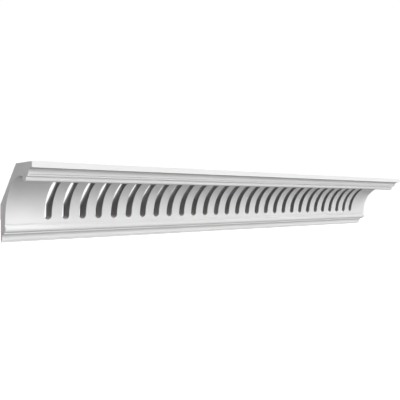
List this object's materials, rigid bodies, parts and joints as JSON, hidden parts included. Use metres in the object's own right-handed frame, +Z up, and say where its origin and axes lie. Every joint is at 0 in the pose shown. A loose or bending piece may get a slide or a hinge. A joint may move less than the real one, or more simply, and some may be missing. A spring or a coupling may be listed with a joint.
{
  "type": "vented cove cornice",
  "caption": "Straight length of cast cove cornice with a stepped fascia, a hanging lip, a bead and a hollow foot, and round-ended vent slots cut level through its cove.",
  "frame": {"origin": "on the flat wall face, halfway along the length, in the middle of the solid band below the slots", "axes": "+X along the moulding, from the left end to the right end as seen from the room; +Y into the wall; +Z up to the ceiling"},
  "size_m": [1, 0.1295, 0.1225],
  "materials": {
    "plaster": "matt white cast gypsum plaster, primed"
  },
  "bodies": {
    "root": {"cornice": "plaster"}
  },
  "joints": []
}
